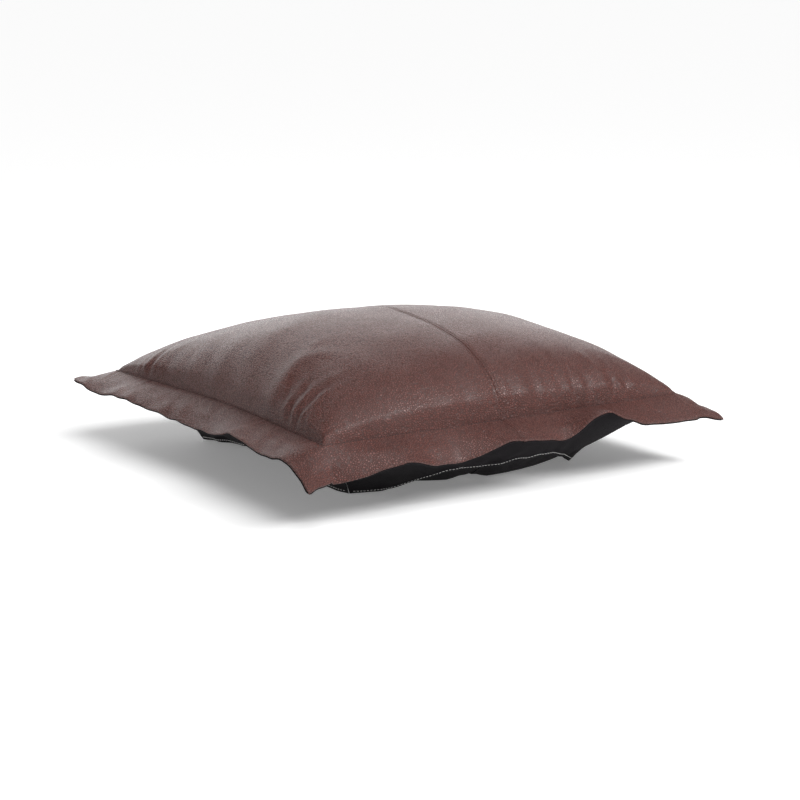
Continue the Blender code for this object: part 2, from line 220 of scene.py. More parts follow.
# Insert casing
# Two squares of undyed cotton ticking sewn round their edge and closed over the fibre,
# so that the cover can come off for washing. It sits slack inside the cover.

casing_half = 0.264
ticking_thickness = 0.0005
ticking, shader, node, link = material("cotton_ticking", (0.70, 0.68, 0.62), 0.9)
place = node("ShaderNodeTexCoord")
weave = woven(node, place, 420.0, 420.0, "ADD")
slubs = node("ShaderNodeTexNoise", Vector=place.outputs["Object"], Scale=90.0, Detail=5.0)
two_tone(node, link, shader, slubs.outputs["Fac"], (0.60, 0.57, 0.50), (0.76, 0.74, 0.69))
relief(node, link, shader, weave, 0.35, 0.0004)
casing_grid = np.sin(np.linspace(-1, 1, 97) * math.pi / 2)
cu, cv = np.meshgrid(casing_grid, casing_grid)
slack = 0.0012 * smooth_noise(cu, cv, 5, 10, 3, 12) * (1 - cu**6) * (1 - cv**6)
casing_keep = 0.91
casing_lift = 0.0065 * np.exp(-(np.abs(cu * casing_half + 0.01) / 0.03) ** 4)
casing_top_z = seam_height + 0.0005 + casing_keep * crown_height(cu, cv) + slack
casing_low_z = np.maximum(0.003 + casing_lift, seam_height - 0.0005 - casing_keep * belly_drop(cu, cv))
for name, height, flip in (
    ("insert_casing_top", casing_top_z, False),
    ("insert_casing_bottom", casing_low_z, True),
):
    points = np.stack([cu * casing_half, cv * casing_half, height], axis=-1)
    if flip:
        points = points[:, ::-1]
    casing = thicken(sheet_mesh(name.replace("insert_", "ticking_"), points), ticking_thickness)
    casing.data.materials.append(ticking)
    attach(casing, "root")
    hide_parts(name)

# Leathercloth top
# Two panels of pebble-grained imitation leather on a knitted back, joined by the centre
# seam. They are cut larger than the seam square, so they dome and pucker when filled,
# and carry on past the ditch seam as the flange, whose edge is turned under.

flange_width = 0.052
leather_thickness = 0.0009
seam_x = -0.011
topstitch_offset = 0.0042

sim_lines = 113
sim_frames = 18
swell_cap = 0.006          # the leather may move this far as it settles


def blur(field, cells):
    """Gaussian blur of a grid, with its edge values held."""
    reach = int(3 * cells) + 1
    bell = np.exp(-0.5 * (np.arange(-reach, reach + 1) / cells) ** 2)
    bell /= bell.sum()
    for axis in (0, 1):
        ends = [(reach, reach) if k == axis else (0, 0) for k in range(field.ndim)]
        held = np.pad(field, ends, "edge")
        total = np.zeros_like(field)
        for k, weight in enumerate(bell):
            part = [slice(None)] * field.ndim
            part[axis] = slice(k, k + field.shape[axis])
            total += weight * held[tuple(part)]
        field = total
    return field


def through(knots, places):
    """A smooth curve through a few (place, value) knots."""
    x, y = np.array(sorted(knots), float).T
    slope = np.gradient(y, x)
    k = np.clip(np.searchsorted(x, places) - 1, 0, len(x) - 2)
    width = x[k + 1] - x[k]
    t = np.clip((places - x[k]) / width, 0, 1)
    return (
        y[k] * (1 + 2 * t) * (1 - t) ** 2
        + y[k + 1] * t * t * (3 - 2 * t)
        + width * (slope[k] * t * (1 - t) ** 2 - slope[k + 1] * t * t * (1 - t))
    )


def ridge(x, y, path, width, height):
    """A soft fold along a path over the plan, dying away at both ends."""
    path = np.array(path, float)
    knots = np.arange(len(path))
    fine = np.linspace(0, len(path) - 1, 12 * len(path))
    line = np.stack([through(list(zip(knots, path[:, k])), fine) for k in (0, 1)], axis=-1)
    nearest = np.full(x.shape, np.inf)
    along = np.zeros(x.shape)
    for k, (px, py) in enumerate(line):
        away = np.hypot(x - px, y - py)
        closer = away < nearest
        nearest = np.where(closer, away, nearest)
        along = np.where(closer, k / (len(line) - 1), along)
    fade = np.sin(np.clip(along * 0.9 + 0.05, 0, 1) * math.pi) ** 0.7
    return height * fade * np.exp(-0.5 * (nearest / width) ** 2)


def pucker_row(along, inward, spots):
    """Short gathers that stand up from the ditch seam: (place, half width, reach, height)."""
    total = np.zeros(along.shape)
    for place, half, reach, height in spots:
        across = np.exp(-0.5 * ((along - place) / half) ** 2)
        total += height * across * np.exp(-inward / reach) * np.clip(inward / 0.006, 0, 1)
    return total


def seeded_puckers(seed, count, low, high):
    draw = np.random.default_rng(seed)
    spots = []
    for k in range(count):
        place = low + (high - low) * (k + draw.uniform(0.1, 0.9)) / count
        half = draw.uniform(0.0045, 0.009)
        spots.append((place, half, draw.uniform(0.012, 0.030), draw.uniform(0.4, 1.0) * 0.0022))
        spots.append((place + 1.7 * half, 0.7 * half, 0.014, -draw.uniform(0.4, 1.0) * 0.0014))
    return spots


front_puckers = [
    (-0.205, 0.010, 0.030, 0.0012), (-0.165, 0.012, 0.026, -0.0010), (-0.130, 0.012, 0.026, 0.0012),
    (-0.085, 0.012, 0.030, 0.0014), (-0.045, 0.010, 0.026, 0.0016), (-0.016, 0.004, 0.030, -0.0014),
    (0.002, 0.005, 0.034, 0.0016), (0.030, 0.011, 0.030, 0.0030), (0.050, 0.005, 0.020, -0.0018),
    (0.062, 0.005, 0.022, 0.0010), (0.080, 0.007, 0.022, 0.0012), (0.092, 0.004, 0.020, -0.0014),
    (0.102, 0.005, 0.024, 0.0020), (0.112, 0.0035, 0.022, -0.0022), (0.124, 0.005, 0.024, 0.0020),
    (0.135, 0.0035, 0.020, -0.0016), (0.146, 0.004, 0.020, 0.0010), (0.163, 0.008, 0.030, 0.0044),
    (0.177, 0.004, 0.024, -0.0028), (0.187, 0.0045, 0.026, 0.0028), (0.198, 0.004, 0.020, -0.0016),
    (0.212, 0.006, 0.026, 0.0020), (0.232, 0.006, 0.020, 0.0010),
]
left_puckers = [
    (-0.232, 0.006, 0.026, 0.0020), (-0.218, 0.0045, 0.034, 0.0030), (-0.207, 0.004, 0.028, -0.0024),
    (-0.196, 0.0045, 0.032, 0.0030), (-0.183, 0.0045, 0.026, -0.0028), (-0.171, 0.006, 0.026, 0.0024),
    (-0.150, 0.006, 0.022, -0.0016), (-0.128, 0.008, 0.022, 0.0014), (-0.100, 0.010, 0.022, -0.0010),
    (-0.060, 0.010, 0.022, 0.0012), (-0.020, 0.010, 0.020, -0.0010), (0.020, 0.010, 0.022, 0.0014),
    (0.055, 0.008, 0.022, -0.0007), (0.090, 0.009, 0.026, 0.0008), (0.125, 0.007, 0.026, 0.0009),
    (0.150, 0.005, 0.022, -0.0010), (0.168, 0.006, 0.028, 0.0016), (0.182, 0.005, 0.030, 0.0032),
    (0.194, 0.004, 0.024, -0.0028), (0.206, 0.005, 0.026, 0.0028), (0.222, 0.005, 0.022, 0.0016),
]
corner_arch = [(-0.276, -0.151), (-0.255, -0.137), (-0.228, -0.126), (-0.200, -0.133), (-0.172, -0.162)]
corner_rise = [(-0.268, -0.268), (-0.240, -0.244), (-0.220, -0.210), (-0.212, -0.178)]
long_drags = [
    (corner_arch, 0.011, 0.0027),
    (corner_rise, 0.011, 0.0022),
    ([(-0.262, -0.186), (-0.240, -0.168), (-0.212, -0.164)], 0.011, -0.0020),
    ([(-0.245, 0.170), (-0.205, 0.090), (-0.160, 0.060)], 0.017, 0.0017),
    ([(-0.215, 0.215), (-0.165, 0.150), (-0.100, 0.120)], 0.015, 0.0017),
    ([(-0.170, 0.238), (-0.120, 0.190), (-0.050, 0.170)], 0.015, 0.0014),
    ([(-0.235, 0.030), (-0.190, -0.010), (-0.130, -0.015)], 0.017, 0.0020),
    ([(0.262, -0.262), (0.235, -0.232), (0.200, -0.205)], 0.011, 0.0016),
    ([(0.255, -0.200), (0.215, -0.165), (0.165, -0.150)], 0.014, 0.0012),
    ([(0.262, 0.262), (0.230, 0.225), (0.190, 0.195)], 0.012, 0.0012),
    ([(0.250, 0.180), (0.205, 0.150), (0.150, 0.150)], 0.014, 0.0012),
    ([(-0.262, 0.262), (-0.235, 0.235), (-0.195, 0.200)], 0.011, 0.0016),
    ([(0.190, 0.250), (0.150, 0.205), (0.140, 0.150)], 0.013, 0.0012),
]
fine_drags = [
    ([(-0.274, -0.214), (-0.256, -0.196), (-0.236, -0.186)], 0.0042, 0.0015),
    ([(-0.274, -0.196), (-0.254, -0.176), (-0.232, -0.160)], 0.0042, 0.0014),
    ([(-0.272, -0.232), (-0.252, -0.220), (-0.232, -0.214)], 0.0042, 0.0013),
    ([(-0.276, -0.170), (-0.262, -0.158), (-0.246, -0.148)], 0.0038, -0.0016),
    ([(-0.268, 0.196), (-0.240, 0.162), (-0.214, 0.140)], 0.0070, 0.0009),
    ([(-0.216, -0.120), (-0.190, -0.104), (-0.160, -0.100)], 0.0070, 0.0010),
    ([(0.112, -0.262), (0.108, -0.236), (0.112, -0.214)], 0.0050, 0.0014),
    ([(0.166, -0.262), (0.158, -0.238), (0.156, -0.216)], 0.0060, 0.0016),
    ([(0.266, 0.110), (0.240, 0.096), (0.214, 0.092)], 0.0060, 0.0014),
    ([(0.120, 0.266), (0.110, 0.240), (0.112, 0.214)], 0.0060, 0.0014),
]


def lifted_along_normal(points, swell):
    normal = np.cross(np.gradient(points, axis=1), np.gradient(points, axis=0))
    normal /= np.maximum(np.linalg.norm(normal, axis=-1, keepdims=True), 1e-12)
    normal[..., 2] = np.clip(normal[..., 2], 0.2, 1)
    return points + normal * swell[..., None]


def draped_crown(u, v):
    """The dome with the broad folds that its eased seams throw up."""
    x, y = u * body_half, v * body_half
    swell = sum(ridge(x, y, *fold) for fold in long_drags)
    room = np.clip((1 - np.maximum(np.abs(u), np.abs(v))) * body_half / 0.03, 0, 1)
    swell = swell + 0.0007 * room * smooth_noise(u, v, 11, 16, 3, 11)
    points = np.stack([x, y, crown_height(u, v)], axis=-1)
    pinned = np.maximum(np.abs(u), np.abs(v)) > 0.9999
    return lifted_along_normal(points, np.where(pinned, 0, swell))


def gathers(x, y):
    """The short puckers round the ditch seam, and the sharp creases at the corners."""
    rows = (
        (y, x + body_half, left_puckers),
        (y, body_half - x, seeded_puckers(21, 13, -0.24, 0.24)),
        (x, y + body_half, front_puckers),
        (x, body_half - y, seeded_puckers(22, 13, -0.24, 0.24)),
    )
    swell = sum(pucker_row(along, inward, spots) for along, inward, spots in rows)
    swell = swell + sum(ridge(x, y, *crease) for crease in fine_drags)
    inside = np.clip((body_half - np.maximum(np.abs(x), np.abs(y))) / 0.004, 0, 1)
    return swell * inside


def settle(start, lines, frames):
    """Cloth simulation: pressure, which stands for the filling, swells the pinned leather."""
    cloth = sheet_mesh("settling_leather", start)
    share = np.linspace(-1, 1, lines)
    u, v = np.meshgrid(share, share)
    held = (np.maximum(np.abs(u), np.abs(v)) > 0.999) | (np.abs(u - seam_x / body_half) < 1 / lines)
    pins = cloth.vertex_groups.new(name="seams")
    pins.add(np.where(held.reshape(-1))[0].tolist(), 1.0, "REPLACE")
    step = cloth.modifiers.new("cloth", "CLOTH")
    step.settings.quality = 5
    step.settings.mass = 0.3
    step.settings.tension_stiffness = 15
    step.settings.compression_stiffness = 15
    step.settings.shear_stiffness = 5
    step.settings.bending_stiffness = 8
    step.settings.vertex_group_mass = "seams"
    step.settings.use_pressure = True
    step.settings.uniform_pressure_force = 4
    step.settings.effector_weights.gravity = 0
    step.collision_settings.use_collision = False
    step.point_cache.frame_start = 1
    step.point_cache.frame_end = frames
    scene = bpy.context.scene
    for number in range(1, frames + 1):
        scene.frame_set(number)
    seen = cloth.evaluated_get(bpy.context.evaluated_depsgraph_get())
    result = np.zeros(lines * lines * 3, np.float32)
    seen.data.vertices.foreach_get("co", result)
    scene.frame_set(1)
    bpy.data.objects.remove(cloth, do_unlink=True)
    moved = blur(result.reshape(lines, lines, 3).astype(float) - start, 1.5)
    far = np.linalg.norm(moved, axis=-1, keepdims=True)
    return start + moved * np.minimum(1, swell_cap / np.maximum(far, 1e-9))


share = np.linspace(-1, 1, sim_lines)
settled = draped_crown(*np.meshgrid(share, share))
settled = settle(settled, sim_lines, sim_frames)


def cubic_rows(places, lines):
    """Weights that read a uniform grid on -1..1 at the given places, smoothly."""
    spots = (np.clip(places, -1, 1) + 1) / 2 * (lines - 1)
    first = np.clip(np.floor(spots).astype(int), 0, lines - 2)
    t = spots - first
    weights = np.zeros((len(places), lines))
    for shift, value in (
        (-1, -0.5 * t + t**2 - 0.5 * t**3),
        (0, 1 - 2.5 * t**2 + 1.5 * t**3),
        (1, 0.5 * t + 2 * t**2 - 1.5 * t**3),
        (2, -0.5 * t**2 + 0.5 * t**3),
    ):
        column = np.clip(first + shift, 0, lines - 1)
        np.add.at(weights, (np.arange(len(places)), column), value)
    return weights


# The ditch seam: how far each side is drawn in at its middle, and how far it lifts.
drawn_in = {"left": 0.010, "right": 0.006, "front": 0.003, "back": 0.007}
lifted = {"left": 0.004, "right": 0.002, "front": -0.002, "back": 0.003}

# How far the flange's edge droops, in degrees, at places along each side.
droop = {
    "front": [
        (-0.280, 62), (-0.262, 54), (-0.238, 42), (-0.212, 33), (-0.185, 26), (-0.151, 38),
        (-0.118, 45), (-0.090, 43), (-0.063, 30), (-0.035, 18), (-0.010, 19), (0.018, 22),
        (0.040, 27), (0.066, 26), (0.080, 18), (0.093, 5), (0.110, -3), (0.122, -5),
        (0.133, -2), (0.146, 6), (0.160, 12), (0.175, 18), (0.200, 26), (0.245, 30), (0.280, 30),
    ],
    "left": [
        (-0.280, 20), (-0.268, 15), (-0.255, 15), (-0.228, 21), (-0.206, 22), (-0.188, 20),
        (-0.162, 17), (-0.139, 12), (-0.118, 13), (-0.085, 24), (-0.053, 32), (-0.010, 33),
        (0.050, 29), (0.090, 26), (0.125, 24), (0.160, 20), (0.196, 18), (0.245, 25), (0.280, 22),
    ],
    "right": [
        (-0.280, 28), (-0.235, 20), (-0.190, 12), (-0.140, 27), (-0.085, 31), (-0.040, 16),
        (0.000, 10), (0.050, 24), (0.105, 30), (0.150, 17), (0.195, 12), (0.240, 22), (0.280, 26),
    ],
    "back": [
        (-0.280, 22), (-0.240, 14), (-0.200, 17), (-0.150, 29), (-0.095, 24), (-0.050, 10),
        (0.000, 14), (0.055, 28), (0.110, 26), (0.155, 9), (0.190, 12), (0.235, 25), (0.280, 28),
    ],
}
# Each flange corner: how far its tip reaches past the body, and how far it hangs.
tips = {
    (-1, -1): (0.052, 0.044), (1, -1): (0.0475, 0.034),
    (-1, 1): (0.0475, 0.014), (1, 1): (0.048, 0.026),
}

flange_cells = 18
turn_cells = 6             # the edge is turned under round a soft roll
turn_radius = 0.0013
body_cells = 78
flange_lines = np.linspace(0, flange_width, flange_cells + 1)[1:]


def body_stations(start, cells):
    """Grid lines from a place on the plan to the ditch seam, closer together near it."""
    t = np.linspace(0, 1, cells + 1)
    return start + (body_half - start) * (0.5 * t + 0.5 * np.sin(t * math.pi / 2))


def side_profile(theta, w):
    """Arc of the flange at droop theta: outward reach and fall at each width w."""
    fine = np.linspace(0, 1, 60)
    turned = (0.7 + 0.6 * fine) * theta[:, None]
    reach = np.cumsum(np.cos(turned), axis=1) / len(fine) * flange_width
    fall = np.cumsum(np.sin(turned), axis=1) / len(fine) * flange_width
    at = w / flange_width
    out = np.stack([np.interp(at, fine, row) for row in reach])
    down = np.stack([np.interp(at, fine, row) for row in fall])
    return out, down


def seam_shift(bx, by):
    """How the drawn-in ditch seam moves the cloth of the body beside it."""
    bow_x = np.cos(np.clip(by / body_half, -1, 1) * math.pi / 2) ** 1.5
    bow_y = np.cos(np.clip(bx / body_half, -1, 1) * math.pi / 2) ** 1.5
    near_x = bow_x * (bx / body_half) ** 4
    near_y = bow_y * (by / body_half) ** 4
    pull_x = np.where(bx < 0, drawn_in["left"], -drawn_in["right"]) * near_x
    pull_y = np.where(by < 0, drawn_in["front"], -drawn_in["back"]) * near_y
    rise_x = np.where(bx < 0, lifted["left"], lifted["right"]) * near_x
    rise_y = np.where(by < 0, lifted["front"], lifted["back"]) * near_y
    return np.stack([pull_x, pull_y, rise_x + rise_y], axis=-1)


def even_out(field, places, spread):
    """Blur along the second axis of a field whose lines are at uneven places."""
    weights = np.exp(-0.5 * ((places[:, None] - places[None]) / spread) ** 2)
    weights = weights * np.abs(np.gradient(places))[None]
    return field @ (weights / weights.sum(axis=1, keepdims=True)).T


flange_blend = 0.006
tip_round = 0.0018


def flange_maps(xs, ys):
    """Outward reach (x, y) and fall of the flange over lines at xs and ys."""
    inner_x = np.clip(xs, -body_half, body_half)
    inner_y = np.clip(ys, -body_half, body_half)
    out_x = np.clip(np.abs(xs) - body_half, 0, None)
    out_y = np.clip(np.abs(ys) - body_half, 0, None)
    fall = np.zeros((len(ys), len(xs)))
    reach_x = fall.copy()
    reach_y = fall.copy()
    beyond = {
        "left": xs < -body_half - 1e-9, "right": xs > body_half + 1e-9,
        "front": ys < -body_half - 1e-9, "back": ys > body_half + 1e-9,
    }
    for side in ("left", "right"):
        out, down = side_profile(np.radians(through(droop[side], inner_y)), out_x[beyond[side]])
        reach_x[:, beyond[side]] = out
        fall[:, beyond[side]] += down
    for side in ("front", "back"):
        out, down = side_profile(np.radians(through(droop[side], inner_x)), out_y[beyond[side]])
        reach_y[beyond[side]] = out.T
        fall[beyond[side]] += down.T
    for (sign_x, sign_y), (tip_reach, tip_fall) in tips.items():
        side_x = "left" if sign_x < 0 else "right"
        side_y = "front" if sign_y < 0 else "back"
        patch = np.ix_(beyond[side_y], beyond[side_x])
        p = (out_x[beyond[side_x]] / flange_width)[None]
        q = (out_y[beyond[side_y]] / flange_width)[:, None]
        edge = np.array([flange_width])
        end_x = side_profile(np.radians(through(droop[side_x], np.array([sign_y * body_half]))), edge)
        end_y = side_profile(np.radians(through(droop[side_y], np.array([sign_x * body_half]))), edge)
        rounded = tip_round * (np.clip(p + q - 1.76, 0, None) / 0.24) ** 2
        fall[patch] += (tip_fall - end_x[1][0, 0] - end_y[1][0, 0]) * p * q
        reach_x[patch] += (tip_reach - end_x[0][0, 0]) * p * q - rounded
        reach_y[patch] += (tip_reach - end_y[0][0, 0]) * p * q - rounded
    lines = beyond["front"] | beyond["back"]
    columns = beyond["left"] | beyond["right"]
    fall[lines] = even_out(fall[lines], xs, flange_blend)
    fall[:, columns] = even_out(fall[:, columns].T, ys, flange_blend).T
    return reach_x, reach_y, fall, np.maximum(out_x[None], out_y[:, None])


def leather_surface(xs, ys):
    """Outside of the leathercloth over lines at xs and ys, out to the flange's edge."""
    inner_x = np.clip(xs, -body_half, body_half)
    inner_y = np.clip(ys, -body_half, body_half)
    read_x = cubic_rows(inner_x / body_half, sim_lines)
    read_y = cubic_rows(inner_y / body_half, sim_lines)
    bx, by = np.meshgrid(inner_x, inner_y)
    points = np.einsum("ri,ijk,cj->rck", read_y, settled, read_x)
    points = lifted_along_normal(points, gathers(bx, by)) + seam_shift(bx, by)
    reach_x, reach_y, fall, w = flange_maps(xs, ys)
    points += np.stack([np.sign(bx) * reach_x, np.sign(by) * reach_y, -fall], axis=-1)
    x, y = np.meshgrid(xs, ys)
    along = np.where(np.abs(x) > np.abs(y), y, x) / body_half
    ruffle = smooth_noise(along, np.zeros(along.shape), 31, 14, 25, 70)
    ripple = smooth_noise(along, w / body_half, 33, 12, 8, 20)
    beside = np.exp(-w / 0.012) * (1 - np.exp(-w / 0.002))
    edge = np.maximum(np.abs(x), np.abs(y))
    inward = np.clip(body_half - edge, 0, None)
    overhang = 0.0005 * inward / 0.005 * np.exp(1 - inward / 0.005)
    points[..., 0] += overhang * np.where(np.abs(x) > np.abs(y), np.sign(x), 0)
    points[..., 1] += overhang * np.where(np.abs(x) > np.abs(y), 0, np.sign(y))
    points[..., 2] += (
        seam_height + 0.0016
        + 0.0006 * ruffle * beside
        + 0.0008 * ripple * np.clip(w / 0.03, 0, 1)
        + 0.0004 * (1 - np.exp(-w / 0.010))
        + 0.3 * overhang
        - 0.0005 * np.exp(-inward / 0.0016)
        - 0.0011 * np.exp(-np.abs(x - seam_x) / 0.0013)
        - 0.0004 * np.exp(-((np.abs(x - seam_x) - topstitch_offset) / 0.0010) ** 2)
    )
    return points


def grid_frame(points):
    """Unit tangents along columns and rows of a grid, and its upward unit normal."""
    across = np.gradient(points, axis=1)
    along = np.gradient(points, axis=0)
    up = np.cross(across, along)
    up *= np.sign(up[..., 2].sum())
    return [field / np.linalg.norm(field, axis=-1, keepdims=True) for field in (across, along, up)]


def roll_edge(points, low_side, high_side, radius, cells):
    """Turn the free edges of a grid under: both ends of its columns, and given sides."""
    across, along, up = grid_frame(points)

    def padded_lines(count, low, high):
        index = [0] * (cells * low) + list(range(count)) + [count - 1] * (cells * high)
        angle = np.zeros(len(index))
        sign = np.zeros(len(index))
        if low:
            angle[:cells] = np.arange(cells, 0, -1) * math.pi / cells
            sign[:cells] = -1
        if high:
            angle[-cells:] = np.arange(1, cells + 1) * math.pi / cells
            sign[-cells:] = 1
        return np.array(index), angle, sign

    rows, row_angle, row_sign = padded_lines(points.shape[0], 1, 1)
    columns, column_angle, column_sign = padded_lines(points.shape[1], low_side, high_side)
    pick = np.ix_(rows, columns)
    out_x = (column_sign * np.sin(column_angle))[None, :, None]
    out_y = (row_sign * np.sin(row_angle))[:, None, None]
    under = 1 - np.minimum(np.cos(column_angle)[None, :], np.cos(row_angle)[:, None])[..., None]
    return points[pick] + radius * (out_x * across[pick] + out_y * along[pick] - under * up[pick])


seam_lines = np.array([0.0, 0.0005, 0.0012, 0.0021, 0.0032, 0.0042, 0.0052, 0.0065, 0.0085, 0.0115])
half_line = np.concatenate([body_stations(0, body_cells), body_half + flange_lines])
cover_ys = np.concatenate([-half_line[::-1], half_line[1:]])


def panel_lines(side):
    """x of the grid lines of one panel, from its outer edge or seam towards +x."""
    outer = body_stations(-side * -seam_x + seam_lines[-1], body_cells)[1:]
    lines = np.concatenate([seam_x * side + seam_lines, outer, body_half + flange_lines])
    return np.sort(side * lines)


def creased(piece, px, py):
    """Leave the surface unsmoothed along the ditch seam, where it is stitched down hard."""
    x, y = (field.reshape(-1) for field in np.meshgrid(px, py))
    stitched = np.isclose(np.maximum(np.abs(x), np.abs(y)), body_half)
    ends = np.empty(2 * len(piece.data.edges), dtype=np.int32)
    piece.data.edges.foreach_get("vertices", ends)
    sharp = stitched[ends.reshape(-1, 2)].all(axis=1)
    piece.data.edges.foreach_set("use_edge_sharp", sharp)
    return piece


leather, shader, node, link = material("brown_leathercloth", (0.125, 0.050, 0.042), 0.36)
place = node("ShaderNodeTexCoord")
wander = node("ShaderNodeTexNoise", Vector=place.outputs["Object"], Scale=160.0, Detail=2.0)
bend = node(
    "ShaderNodeMix", [("data_type", "VECTOR")], Factor=0.0022,
    i4=place.outputs["Object"], i5=wander.outputs["Color"],
)
pebble = node(
    "ShaderNodeTexVoronoi", [("feature", "DISTANCE_TO_EDGE")],
    Vector=bend.outputs[1], Scale=360.0, Randomness=0.95,
)
dome = node(
    "ShaderNodeMapRange", [("interpolation_type", "SMOOTHERSTEP")],
    Value=pebble.outputs["Distance"], i1=0.0, i2=0.32, i3=0.0, i4=1.0,
)
pores = node("ShaderNodeTexNoise", Vector=place.outputs["Object"], Scale=1500.0, Detail=3.0)
drift = node(
    "ShaderNodeTexNoise", Vector=place.outputs["Object"], Scale=16.0, Detail=4.0, Roughness=0.6
)
grain_depth = node(
    "ShaderNodeMapRange", Value=drift.outputs["Fac"], i1=0.3, i2=0.7, i3=0.55, i4=1.0
)
grain = node(
    "ShaderNodeMath", [("operation", "MULTIPLY")],
    i0=dome.outputs["Result"], i1=grain_depth.outputs["Result"],
)
fine = node(
    "ShaderNodeMath", [("operation", "MULTIPLY_ADD")],
    i0=pores.outputs["Fac"], i1=0.18, i2=grain.outputs["Value"],
)
# Painted shade: the creases between the pebbles are painted dark and the pebble tops light, so the grain's
# shade is put into the colour.
tone = node(
    "ShaderNodeMix", [("data_type", "RGBA")], Factor=dome.outputs["Result"],
    i6=(0.047, 0.0140, 0.0105, 1), i7=(0.134, 0.0470, 0.0380, 1),
)
mottle = node(
    "ShaderNodeMapRange", Value=drift.outputs["Fac"], i1=0.3, i2=0.7, i3=0.88, i4=1.10
)
shade = node(
    "ShaderNodeMix", [("data_type", "RGBA"), ("blend_type", "MULTIPLY")], Factor=1.0,
    i6=tone.outputs[2], i7=mottle.outputs["Result"],
)
link(shade.outputs[2], shader.inputs["Base Color"])
gloss = node(
    "ShaderNodeMapRange", Value=fine.outputs["Value"], i1=0.0, i2=1.1, i3=0.50, i4=0.28
)
link(gloss.outputs["Result"], shader.inputs["Roughness"])
relief(node, link, shader, fine.outputs["Value"], 1.0, 0.0009)
shader.inputs["IOR"].default_value = 1.42
shader.inputs["Specular IOR Level"].default_value = 0.5
shader.inputs["Coat Weight"].default_value = 0.06
shader.inputs["Coat Roughness"].default_value = 0.30

leather_grids = {}
for side_name, side in (("left", -1), ("right", 1)):
    xs = panel_lines(side)
    surface = leather_surface(xs, cover_ys)
    leather_grids[side_name] = (xs, surface)
    points = roll_edge(surface, side < 0, side > 0, turn_radius, turn_cells)
    turned_x = (turn_cells, 0) if side < 0 else (0, turn_cells)
    panel = creased(
        sheet_mesh("leather_panel_" + side_name, points),
        np.pad(xs, turned_x, mode="edge"), np.pad(cover_ys, turn_cells, mode="edge"),
    )
    thicken(panel, leather_thickness)
    panel.data.materials.append(leather)
    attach(panel, "root")
    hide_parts("top_panel_" + side_name)

# Black underside
# Two panels of black cotton duck, sewn together along the middle except where the zip
# goes in. Their outer borders lie against the back of the leathercloth as the flange's
# facing, caught by the same ditch stitching, with the edge just showing under the roll.

duck_thickness = 0.0008
floor_gap = 0.0004
lip_place = 0.0072
lip_closes = 0.2035
lip_lines = np.array([0, 0.0012, 0.003, 0.006, 0.010, 0.015, 0.022, 0.030])
furrow_depth = 0.0052
furrow_half = 0.022
facing_gap = (0.0012, 0.0030)      # behind the leathercloth: at the ditch, at the edge
facing_edge = 0.0018               # shows this far past the leather's last flat line


def belly_surface(x, y):
    """Height of the outside of the underside inside the ditch seam."""
    u, v = x / body_half, y / body_half
    free = seam_height - 0.0015 - belly_drop(u, v)
    rounding = 0.0016
    height = 0.5 * (free + np.sqrt(free * free + 4 * rounding * rounding))
    off_floor = np.clip(height / 0.03, 0, 1) * (1 - np.maximum(np.abs(u), np.abs(v)) ** 12)
    spokes = np.sin(np.arctan2(v, u) * 46 + 2.2 * smooth_noise(u, v, 41, 8, 1, 4))
    hollow = np.exp(-(np.abs(x - seam_x) / furrow_half) ** 4)
    hollow = hollow * np.clip(belly_drop(u, v) / seam_height, 0, 1)
    return floor_gap + np.maximum(height + 0.0008 * off_floor * spokes, 0) + furrow_depth * hollow


def underside_lines(side):
    start = side * seam_x + lip_place + lip_lines[-1]
    stations = body_stations(start, body_cells)[1:]
    lines = np.concatenate([side * seam_x + lip_place + lip_lines, stations, body_half + flange_lines])
    return np.sort(side * lines)


duck, shader, node, link = material("black_cotton_duck", (0.010, 0.009, 0.010), 0.88)
place = node("ShaderNodeTexCoord")
weave = woven(node, place, 330.0, 330.0, Distortion=0.6)
lint = node("ShaderNodeTexNoise", Vector=place.outputs["Object"], Scale=70.0, Detail=6.0)
two_tone(node, link, shader, lint.outputs["Fac"], (0.0065, 0.0055, 0.0065), (0.014, 0.012, 0.014))
relief(node, link, shader, weave, 0.4, 0.0004)
shader.inputs["Specular IOR Level"].default_value = 0.12
shader.inputs["Sheen Weight"].default_value = 0.02
shader.inputs["Sheen Roughness"].default_value = 0.5

for side_name, side in (("left", -1), ("right", 1)):
    xs = underside_lines(side)
    surface = leather_surface(xs, cover_ys)
    across, along, up = grid_frame(surface)
    x, y = np.meshgrid(xs, cover_ys)
    bx, by = np.clip(x, -body_half, body_half), np.clip(y, -body_half, body_half)
    w = np.maximum(np.abs(x), np.abs(y)) - body_half
    belly = np.stack([bx, by, belly_surface(bx, by)], axis=-1) + seam_shift(bx, by) * [1, 1, 0]
    belly[..., 2] += seam_shift(bx, by)[..., 2] * np.clip(belly[..., 2] / seam_height, 0, 1)
    share = np.clip(w / flange_width, 0, 1)
    gap = facing_gap[0] + (facing_gap[1] - facing_gap[0]) * share**3 + duck_thickness
    facing = surface - up * gap[..., None]
    rim = body_half + flange_width - 1e-6
    edge_x = np.where((np.abs(x) > rim) & (np.abs(y) < rim), np.sign(x), 0)
    edge_y = np.where((np.abs(y) > rim) & (np.abs(x) < rim), np.sign(y), 0)
    facing += facing_edge * (edge_x[..., None] * across + edge_y[..., None] * along)
    points = np.where((w > 1e-9)[..., None], facing, belly)
    inner = -1 if side < 0 else 0
    blend = np.clip((np.abs(cover_ys) - lip_closes) / 0.012, 0, 1)
    for k, weight in enumerate(np.exp(-lip_lines / 0.010)):
        column = inner - k if side < 0 else k
        points[:, column, 0] -= side * (lip_place - 0.0004) * weight * blend
    panel = thicken(sheet_mesh("duck_panel_" + side_name, points[:, ::-1]), duck_thickness)
    panel.data.materials.append(duck)
    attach(panel, "root")
    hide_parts("bottom_panel_" + side_name)

